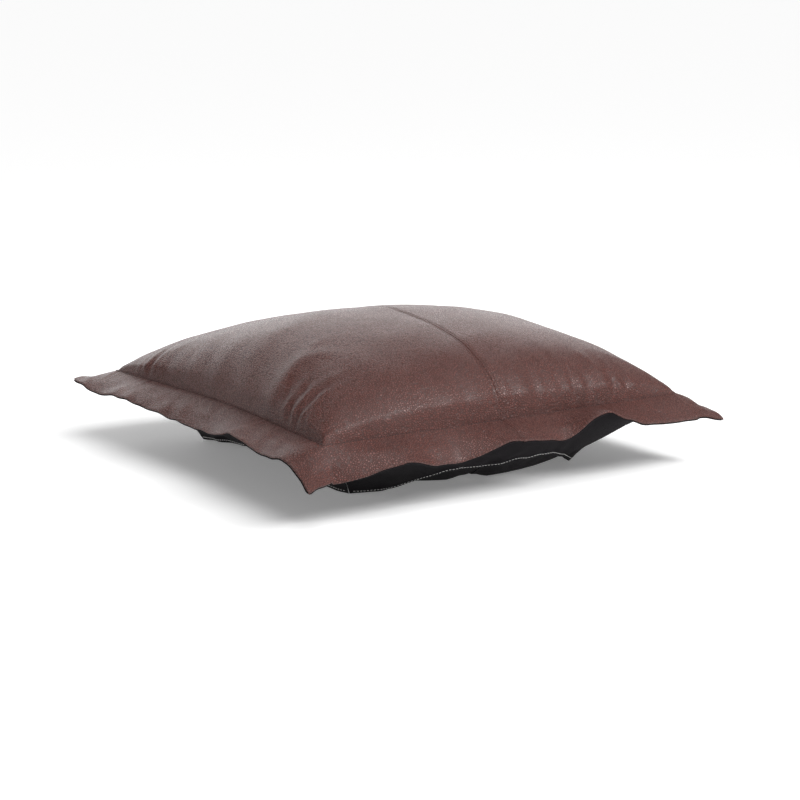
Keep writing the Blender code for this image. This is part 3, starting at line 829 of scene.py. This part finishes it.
# Under-skirt
# Four trapezoids of the same duck, caught in the ditch seam and sewn to each other at
# mitred corners, so that each corner is a pocket that hooks over an ottoman frame. The
# lower edge is turned up and stitched; empty, it slumps round the belly to the floor.

skirt_ear = 0.183
skirt_top = body_half + 0.0010
skirt_top_z = seam_height - 0.0050
skirt_clear = 0.0022
skirt_rise = 0.0016
skirt_cells = (150, 44)
hem_turn = 0.010
hem_row = 0.0055            # the stitching lies this far above the fold of the hem
ear_height = 0.0015
mitre_gap = 0.0006
corner_fall = [
    (0, skirt_top_z), (0.22, 0.070), (0.431, 0.053), (0.706, 0.035), (0.858, 0.020),
    (0.96, 0.007), (1, ear_height),
]
# The hem of each side: place along it from ear to ear, distance out, height off the floor.
hem_line = {
    "front": [
        (-1, 0.183, 0.0012), (-0.90, 0.189, 0.0010), (-0.75, 0.193, 0.0014), (-0.63, 0.194, 0.0030),
        (-0.55, 0.202, 0.0080), (-0.47, 0.222, 0.0180), (-0.38, 0.238, 0.0255), (-0.20, 0.244, 0.0255),
        (0, 0.248, 0.0265), (0.20, 0.250, 0.0285), (0.38, 0.249, 0.0300), (0.52, 0.244, 0.0285),
        (0.64, 0.235, 0.0235), (0.78, 0.218, 0.0140), (0.90, 0.200, 0.0060), (1, 0.183, 0.0012),
    ],
    "right": [
        (-1, 0.183, 0.0012), (-0.80, 0.196, 0.0050), (-0.45, 0.212, 0.0120), (0, 0.217, 0.0150),
        (0.40, 0.214, 0.0120), (0.75, 0.198, 0.0040), (1, 0.183, 0.0012),
    ],
    "back": [
        (-1, 0.183, 0.0012), (-0.75, 0.199, 0.0060), (-0.35, 0.213, 0.0130), (0.10, 0.217, 0.0140),
        (0.50, 0.211, 0.0110), (0.80, 0.197, 0.0050), (1, 0.183, 0.0012),
    ],
    "left": [
        (-1, 0.183, 0.0012), (-0.80, 0.190, 0.0080), (-0.49, 0.190, 0.0130), (-0.33, 0.190, 0.0145),
        (0, 0.189, 0.0130), (0.16, 0.188, 0.0095), (0.50, 0.190, 0.0065), (0.80, 0.193, 0.0035),
        (1, 0.183, 0.0012),
    ],
}


# Where each ear has been nudged along the floor from its place on the pattern.
ear_shift = {"F": (0.0, 0.0), "R": (-0.018, -0.014), "B": (0.005, 0.004), "L": (-0.007, 0.011)}
ears_of = {"front": "FR", "right": "RB", "back": "BL", "left": "LF"}


def belly_reach(side_name, z):
    """How far out the underside is at a height, half way along a side."""
    out = np.linspace(0, 1, 400)
    u = {"left": -out, "right": out}.get(side_name, 0 * out)
    v = {"front": -out, "back": out}.get(side_name, 0 * out)
    height = seam_height - belly_drop(u, v)
    return np.interp(z, np.maximum.accumulate(height), out * body_half)


sides = ("front", "right", "back", "left")
spins = {name: np.array(Matrix.Rotation(k * math.pi / 2, 3, "Z")) for k, name in enumerate(sides)}


def skirt_surface(side_name, seed, t, s):
    """A panel seen as the front one: t from ear to ear, s from the ditch to the hem."""
    corner = skirt_top + (skirt_ear - skirt_top) * s
    corner_z = through(corner_fall, s)
    hem = hem_line[side_name]
    hem_out = through([(place, out) for place, out, _ in hem], t)
    hem_z = through([(place, height) for place, _, height in hem], t)
    middle_z = skirt_top_z + (hem_z - skirt_top_z) * s
    middle = belly_reach(side_name, middle_z) + skirt_clear
    share = 1 - np.abs(t) ** 2.6
    out = corner + (middle - corner) * share
    height = corner_z + (middle_z - corner_z) * share
    end_out = skirt_ear + (belly_reach(side_name, hem_z) + skirt_clear - skirt_ear) * share
    end_height = ear_height + (hem_z - ear_height) * share
    out = out + (hem_out - end_out) * s**2
    height = height + (hem_z - end_height) * s**3
    slack = smooth_noise(t, s, seed, 10, 4, 13)
    out = out + 0.0016 * slack * s**1.5 * (1 - t**8)
    height = height + 0.0009 * smooth_noise(t, 0 * t, seed + 50, 8, 5, 16) * s**4 * (1 - t**8)
    height = np.maximum(height, floor_gap + duck_thickness)
    along = t * (corner - mitre_gap)
    near, far = np.zeros(t.shape), np.full(t.shape, body_half)
    spin = spins[side_name]
    for _ in range(24):
        middle = (near + far) / 2
        x, y = (spin[k, 0] * along - spin[k, 1] * middle for k in (0, 1))
        below = belly_surface(x, y) < height + skirt_rise
        near, far = np.where(below, middle, near), np.where(below, far, middle)
    hugging = np.minimum(far + skirt_clear, skirt_top + 0.0005)
    out = 0.5 * (out + hugging + np.sqrt((out - hugging) ** 2 + 0.002**2))
    return np.stack([along, -out, height], axis=-1)


skirt_bunching = 0.92 * math.pi / 2        # the columns lie closer together near the ears
skirt_t = np.sin(np.linspace(-1, 1, skirt_cells[0] + 1) * skirt_bunching) / math.sin(skirt_bunching)
skirt_s = np.linspace(0, 1, skirt_cells[1] + 1) ** 0.75
hem_paths = {}
for quarter, side_name in enumerate(sides):
    t, s = np.meshgrid(skirt_t, skirt_s)
    points = skirt_surface(side_name, 60 + quarter, t, s)
    steps = np.linalg.norm(np.diff(points, axis=0), axis=-1)
    down = np.concatenate([np.zeros((1, t.shape[1])), np.cumsum(steps, axis=0)])
    from_hem = down[-1] - down
    across, along, outward = grid_frame(points)
    outward *= np.sign(-outward[..., 1].sum())
    turn_up = 1 / (1 + np.exp((from_hem - hem_turn) / 0.0006))
    sunk = np.exp(-((from_hem - hem_row) / 0.0009) ** 2)
    points = points + outward * (0.0007 * turn_up - 0.0004 * sunk)[..., None]
    spin = spins[side_name]
    points = points @ spin.T
    shift = seam_shift(*np.clip(points[..., :2], -body_half, body_half).transpose(2, 0, 1))
    shift[..., 2] *= np.clip(points[..., 2] / seam_height, 0, 1)
    points = points + shift
    for ear, end in zip(ears_of[side_name], (-1, 1)):
        near = np.clip(end * t, 0, 1) ** 4 * s**2
        points[..., :2] += near[..., None] * ear_shift[ear]
    outward = outward @ spin.T
    stitch_row = []
    for column in range(points.shape[1]):
        order = np.argsort(from_hem[:, column])
        rise = from_hem[order, column]
        spot, lean = (
            [np.interp(hem_row, rise, field[order, column, k]) for k in range(3)]
            for field in (points, outward)
        )
        stitch_row.append((spot, lean))
    hem_paths[side_name] = np.array(stitch_row)
    panel = thicken(sheet_mesh("skirt_panel_" + side_name, points[::-1]), duck_thickness)
    panel.data.materials.append(duck)
    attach(panel, "root")
    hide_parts("skirt_" + side_name)

# Hem stitching
# A row of white lockstitch in heavy bonded thread round the turned-up hem of each
# skirt panel. Each stitch lies on the cloth and dives into it at both ends.


def stitches(name, path, normals, pitch, length, radius, lift, colour_material):
    """Separate stitches laid end to end along a path, as one piece."""
    steps = np.linalg.norm(np.diff(path, axis=0), axis=1)
    run = np.concatenate([[0], np.cumsum(steps)])
    count = int((run[-1] - length) / pitch)
    rings = 7
    corners = 6
    share = np.linspace(-1, 1, rings)
    girth = np.sqrt(np.clip(1 - (0.97 * share) ** 6, 0.02, 1))
    turn = np.arange(corners) * math.tau / corners
    vertices, faces = [], []
    for number in range(count):
        centre = (number + 0.5) * pitch + (run[-1] - count * pitch) / 2
        at = centre + share * length / 2
        spine = np.stack([np.interp(at, run, path[:, k]) for k in range(3)], axis=-1)
        up = np.stack([np.interp(centre, run, normals[:, k]) for k in range(3)])
        up /= np.linalg.norm(up)
        along = spine[-1] - spine[0]
        along /= np.linalg.norm(along)
        side = np.cross(along, up)
        side /= np.linalg.norm(side)
        up = np.cross(side, along)
        spine = spine + up * (lift - 1.9 * radius * share[:, None] ** 4)
        ring = (
            side * np.cos(turn)[None, :, None] + up * np.sin(turn)[None, :, None]
        ) * (radius * girth)[:, None, None] + spine[:, None]
        first = len(vertices)
        vertices.extend(ring.reshape(-1, 3).tolist())
        for k in range(rings - 1):
            for m in range(corners):
                a, b = first + k * corners + m, first + k * corners + (m + 1) % corners
                faces.append((a, b, b + corners, a + corners))
        faces.append([first + m for m in reversed(range(corners))])
        faces.append([first + (rings - 1) * corners + m for m in range(corners)])
    mesh = bpy.data.meshes.new(name)
    mesh.from_pydata(vertices, [], faces)
    mesh.shade_smooth()
    mesh.update()
    piece = bpy.data.objects.new(name, mesh)
    bpy.context.scene.collection.objects.link(piece)
    piece.data.materials.append(colour_material)
    return piece


def thread_material(name, colour, strength):
    """Twisted thread: fine slanting plies."""
    made, shader, node, link = material(name, colour, 0.62)
    place = node("ShaderNodeTexCoord")
    plies = node(
        "ShaderNodeTexWave", [("bands_direction", "DIAGONAL")],
        Vector=place.outputs["Object"], Scale=900.0, Distortion=0.5,
    )
    # Painted shade: the grooves between the plies are painted darker than the ply crowns that the bump
    # raises.
    dark = tuple(0.72 * part for part in colour)
    two_tone(node, link, shader, plies.outputs["Fac"], dark, colour)
    relief(node, link, shader, plies.outputs["Fac"], strength, 0.0001)
    return made


white_thread = thread_material("white_bonded_thread", (0.88, 0.87, 0.85), 0.4)
for side_name, rows in hem_paths.items():
    row = stitches(
        "hem_stitches_" + side_name, rows[2:-2, 0], rows[2:-2, 1],
        pitch=0.0046, length=0.0038, radius=0.00042, lift=0.0003, colour_material=white_thread,
    )
    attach(row, "root")
    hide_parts("hem_stitch_" + side_name)

# Centre topstitching
# The seam allowances of the two top panels are opened out and held flat by a row of
# tonal stitching either side of the seam, which runs on over the flange to its edge.

brown_thread = thread_material("brown_bonded_thread", (0.060, 0.024, 0.020), 0.5)
for side_name, (xs, surface) in leather_grids.items():
    column = int(np.argmin(np.abs(np.abs(xs - seam_x) - topstitch_offset)))
    up = grid_frame(surface)[2]
    row = stitches(
        "topstitches_" + side_name, surface[:, column], up[:, column],
        pitch=0.0046, length=0.0037, radius=0.00030, lift=0.00012, colour_material=brown_thread,
    )
    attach(row, "root")
    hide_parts("centre_topstitch_" + side_name)

# Ditch stitching
# One row of stitching through all the layers, sunk in the crease between the filled
# body and the flange. It is what sets the flange off and closes the body.

ditch_offset = 0.0008
ditch_half = body_half + ditch_offset
side_run = np.linspace(-ditch_half, ditch_half, 241)
level = np.array([ditch_half, ditch_half + 0.0005])
loop_points, loop_normals = [], []
for low_side, fixed_y in ((1, False), (1, True), (0, False), (0, True)):
    places = np.sort(level if low_side else -level)
    row = 0 if low_side else 1
    if fixed_y:
        surface = leather_surface(side_run, places)
        line, up = surface[row], grid_frame(surface)[2][row]
    else:
        surface = leather_surface(places, side_run)
        line, up = surface[:, row], grid_frame(surface)[2][:, row]
    backwards = (low_side and fixed_y) or (not low_side and not fixed_y)
    loop_points.append(line[::-1][:-1] if backwards else line[:-1])
    loop_normals.append(up[::-1][:-1] if backwards else up[:-1])
# Partly the thread's own dark brown and partly painted shade: it is coloured near black to stand in for
# the shade in the crease it is sunk in.
ditch_thread = thread_material("dark_thread_and_painted_crease_shade", (0.024, 0.010, 0.008), 0.5)
ditch_row = stitches(
    "ditch_stitches", np.concatenate(loop_points), np.concatenate(loop_normals),
    pitch=0.0042, length=0.0038, radius=0.00045, lift=0.0001, colour_material=ditch_thread,
)
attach(ditch_row, "root")
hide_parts("flange_ditch_stitch")

# Zip tapes
# Woven polyester tapes sewn inside the lips of the opening, each with a coil of nylon
# monofilament stitched along its inner edge.

tape_weave, shader, node, link = material("woven_zip_tape", (0.014, 0.014, 0.015), 0.8)
place = node("ShaderNodeTexCoord")
weave = woven(node, place, 400.0, 260.0)
# Painted shade: the low parts of the weave, between the crossing threads, are painted darker than the
# thread tops.
two_tone(node, link, shader, weave, (0.009, 0.009, 0.010), (0.020, 0.020, 0.022))
relief(node, link, shader, weave, 0.5, 0.0003)
nylon, shader, node, link = material("nylon_monofilament", (0.018, 0.018, 0.019), 0.42)
place = node("ShaderNodeTexCoord")
scuffs = node("ShaderNodeTexNoise", Vector=place.outputs["Object"], Scale=700.0, Detail=4.0)
wear = node("ShaderNodeMapRange", Value=scuffs.outputs["Fac"], i1=0.3, i2=0.7, i3=0.34, i4=0.55)
link(wear.outputs["Result"], shader.inputs["Roughness"])
relief(node, link, shader, scuffs.outputs["Fac"], 0.2, 0.0001)
shader.inputs["Coat Weight"].default_value = 0.2

coil_pitch = 0.0012
coil_wire = 0.00022
coil_turn_points = 12
for side_name, side in (("left", -1), ("right", 1)):
    low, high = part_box("zip_tape_" + side_name)
    tx = np.linspace(low[0], high[0], 25)
    ty = np.linspace(low[1], high[1], 240)
    across_x, along_y = np.meshgrid(tx, ty)
    inner_edge = low[0] if side > 0 else high[0]
    from_edge = np.abs(across_x - inner_edge)
    ribbing = 0.00006 * np.sin(from_edge * math.tau / 0.0011)
    tape_points = np.stack([across_x, along_y, np.full(across_x.shape, high[2]) + ribbing], axis=-1)
    tape = thicken(sheet_mesh("woven_tape_" + side_name, tape_points), high[2] - low[2] - 0.0001)
    tape.data.materials.append(tape_weave)
    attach(tape, "root")
    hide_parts("zip_tape_" + side_name)

    low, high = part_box("zip_coil_" + side_name)
    radius = (high[2] - low[2]) / 2 - coil_wire
    turns = (high[1] - low[1] - 2 * coil_wire) / coil_pitch
    theta = np.linspace(0, turns * math.tau, int(turns * coil_turn_points))
    line = np.stack([
        (low[0] + high[0]) / 2 + side * radius * np.cos(theta),
        low[1] + coil_wire + theta / math.tau * coil_pitch,
        (low[2] + high[2]) / 2 + radius * np.sin(theta),
    ], axis=-1)
    curve = bpy.data.curves.new("coil_line_" + side_name, "CURVE")
    curve.dimensions = "3D"
    curve.bevel_depth = coil_wire
    curve.bevel_resolution = 1
    curve.use_fill_caps = True
    spline = curve.splines.new("POLY")
    spline.points.add(len(line) - 1)
    spline.points.foreach_set("co", np.column_stack([line, np.ones(len(line))]).astype(np.float32).ravel())
    holder = bpy.data.objects.new("coil_line_" + side_name, curve)
    mesh = bpy.data.meshes.new_from_object(holder)
    bpy.data.objects.remove(holder)
    mesh.shade_smooth()
    coil = bpy.data.objects.new("nylon_coil_" + side_name, mesh)
    bpy.context.scene.collection.objects.link(coil)
    coil.data.materials.clear()
    coil.data.materials.append(nylon)
    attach(coil, "root")
    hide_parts("zip_coil_" + side_name)

# Zip slider, pull and stops
# Die-cast zinc, plated and darkened. The slider closes the coils as it runs towards the
# back, the pull swings from its bridge, and the stops are crimped over the coil ends.

plated, shader, node, link = material("plated_zinc", (0.30, 0.29, 0.28), 0.30)
shader.inputs["Metallic"].default_value = 1.0
place = node("ShaderNodeTexCoord")
cast = node("ShaderNodeTexNoise", Vector=place.outputs["Object"], Scale=900.0, Detail=5.0)
scratches = node(
    "ShaderNodeTexNoise", Vector=place.outputs["Object"], Scale=240.0, Detail=2.0, Distortion=3.0
)
wear = node("ShaderNodeMapRange", Value=scratches.outputs["Fac"], i1=0.35, i2=0.65, i3=0.24, i4=0.44)
link(wear.outputs["Result"], shader.inputs["Roughness"])
two_tone(node, link, shader, scratches.outputs["Fac"], (0.22, 0.215, 0.21), (0.36, 0.35, 0.34))
relief(node, link, shader, cast.outputs["Fac"], 0.25, 0.0001)
for name in ("zip_slider", "zip_pull", "zip_top_stop_left", "zip_top_stop_right", "zip_bottom_stop"):
    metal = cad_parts[name]
    metal.data.materials.clear()
    metal.data.materials.append(plated)

# Studio
# A plain pale floor under soft light: a broad bank behind, whose light the leather mirrors
# at a low angle, a weak bank at the left, a tall strong one at the front, and a soft sun.

floor_mesh = bpy.data.meshes.new("studio_floor")
floor_half = 30.0
floor_z = -0.0004
floor_corners = ((-1, -1), (1, -1), (1, 1), (-1, 1))
floor_mesh.from_pydata(
    [(x * floor_half, y * floor_half, floor_z) for x, y in floor_corners], [], [(0, 1, 2, 3)]
)
studio_floor = bpy.data.objects.new("studio_floor", floor_mesh)
bpy.context.scene.collection.objects.link(studio_floor)
paper, shader, node, link = material("white_paper", (0.93, 0.93, 0.93), 0.9)
shader.inputs["Emission Color"].default_value = (1, 1, 1, 1)
shader.inputs["Emission Strength"].default_value = 0.19
studio_floor.data.materials.append(paper)

world = bpy.data.worlds.new("studio")
world.use_nodes = True
world.node_tree.nodes["Background"].inputs["Color"].default_value = (1, 1, 1, 1)
world.node_tree.nodes["Background"].inputs["Strength"].default_value = 0.22
bpy.context.scene.world = world
bpy.context.scene.view_settings.view_transform = "Standard"


def bank(name, place, target, size, power):
    """A soft box: a rectangular light that looks at a point."""
    light = bpy.data.lights.new(name, "AREA")
    light.shape = "RECTANGLE"
    light.size, light.size_y = size
    light.energy = power
    lamp = bpy.data.objects.new(name, light)
    lamp.location = place
    lamp.visible_camera = False
    lamp.rotation_euler = (Vector(target) - Vector(place)).to_track_quat("-Z", "Y").to_euler()
    bpy.context.scene.collection.objects.link(lamp)


bank("back_bank", (0.9, 2.5, 0.95), (0, 0, 0.1), (3.4, 1.7), 40)
bank("left_bank", (-2.1, 0.6, 0.7), (0, 0, 0.1), (0.3, 0.5), 4)
bank("front_bank", (1.15, -1.9, 1.70), (0, 0, 0.1), (0.42, 0.95), 44)
sun = bpy.data.lights.new("skylight", "SUN")
sun.energy = 2.25
sun.angle = math.radians(60)
sky = bpy.data.objects.new("skylight", sun)
sky.rotation_euler = Vector((-0.12, 0.45, -1)).to_track_quat("-Z", "Y").to_euler()
bpy.context.scene.collection.objects.link(sky)

turn = math.radians(-33.39)
climb = math.radians(11.48)
camera_distance = 3.0
away = Vector((
    math.sin(turn) * math.cos(climb), -math.cos(turn) * math.cos(climb), math.sin(climb)
))
seam_centre = Vector((0, 0, seam_height))
lens = bpy.data.cameras.new("camera")
lens.lens = 97.0
lens.sensor_width = 36
lens.shift_x = 0.0135
lens.shift_y = -0.0228
camera = bpy.data.objects.new("camera", lens)
camera.location = seam_centre + away * camera_distance
camera.rotation_euler = (-away).to_track_quat("-Z", "Y").to_euler()
bpy.context.scene.collection.objects.link(camera)
bpy.context.scene.camera = camera
